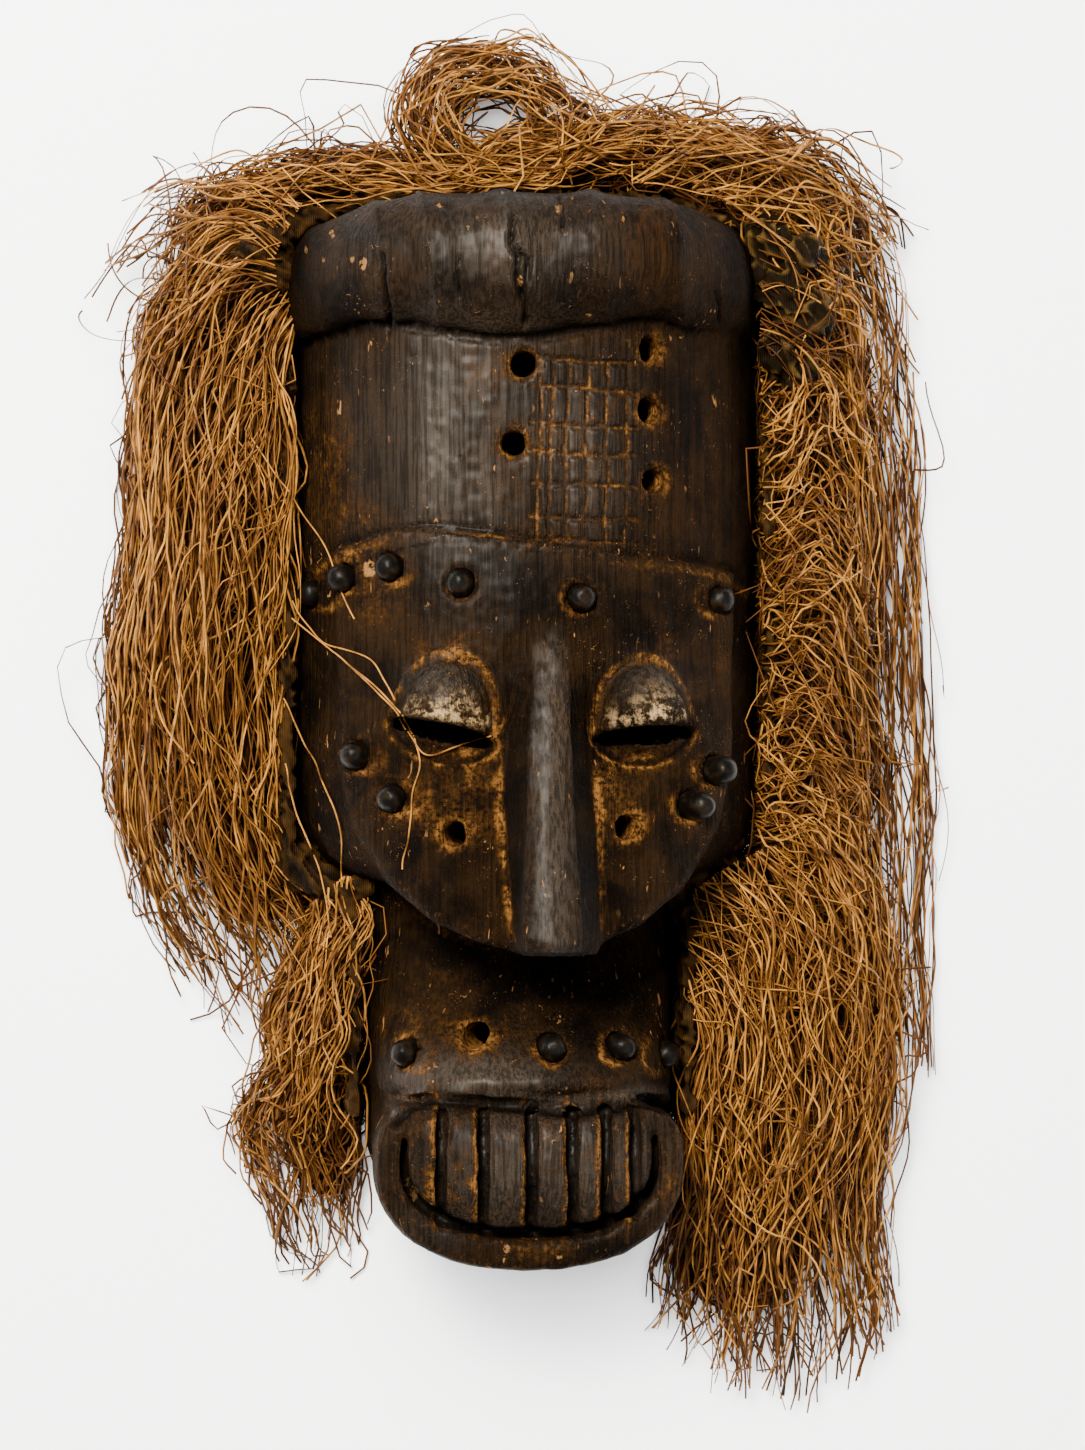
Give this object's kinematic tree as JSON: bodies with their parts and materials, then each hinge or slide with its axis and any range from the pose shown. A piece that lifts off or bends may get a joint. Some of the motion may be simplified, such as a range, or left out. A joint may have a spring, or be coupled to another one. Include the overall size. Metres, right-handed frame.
{
  "type": "carved initiation mask",
  "caption": "Carved wooden half-cylinder mask with a rolled rim, hooded eyes, a long nose and a grooved mouth, with round pegs and a raffia fringe round the open back.",
  "frame": {"origin": "the middle of the underside of the whole mask's box, lying on its back with its fringe", "axes": "+Y along the mask from the chin to the crown, +Z out of the face, +X to the viewer's right of the face seen from the front"},
  "size_m": [0.3382, 0.5558, 0.1391],
  "materials": {
    "dark_wood": "carved, darkened and worn, satin where rubbed",
    "peg_wood": "domed pegs, rubbed smooth",
    "band_fibre": "knotted fibre and cloth, matt",
    "raffia": "dry loose palm fibre"
  },
  "bodies": {
    "root": {"mask_body": "dark_wood", "stud_brow_1": "peg_wood", "stud_brow_2": "peg_wood", "stud_brow_3": "peg_wood", "stud_brow_4": "peg_wood", "stud_brow_5": "peg_wood", "stud_brow_6": "peg_wood", "stud_cheek_left_1": "peg_wood", "stud_cheek_left_2": "peg_wood", "stud_cheek_right_1": "peg_wood", "stud_cheek_right_2": "peg_wood", "stud_jaw_1": "peg_wood", "stud_jaw_2": "peg_wood", "stud_jaw_3": "peg_wood", "stud_jaw_4": "peg_wood", "raffia_band": "band_fibre", "raffia_left": "raffia", "raffia_left_lower": "raffia", "raffia_crown": "raffia", "raffia_knot": "raffia", "raffia_right": "raffia"}
  },
  "joints": []
}
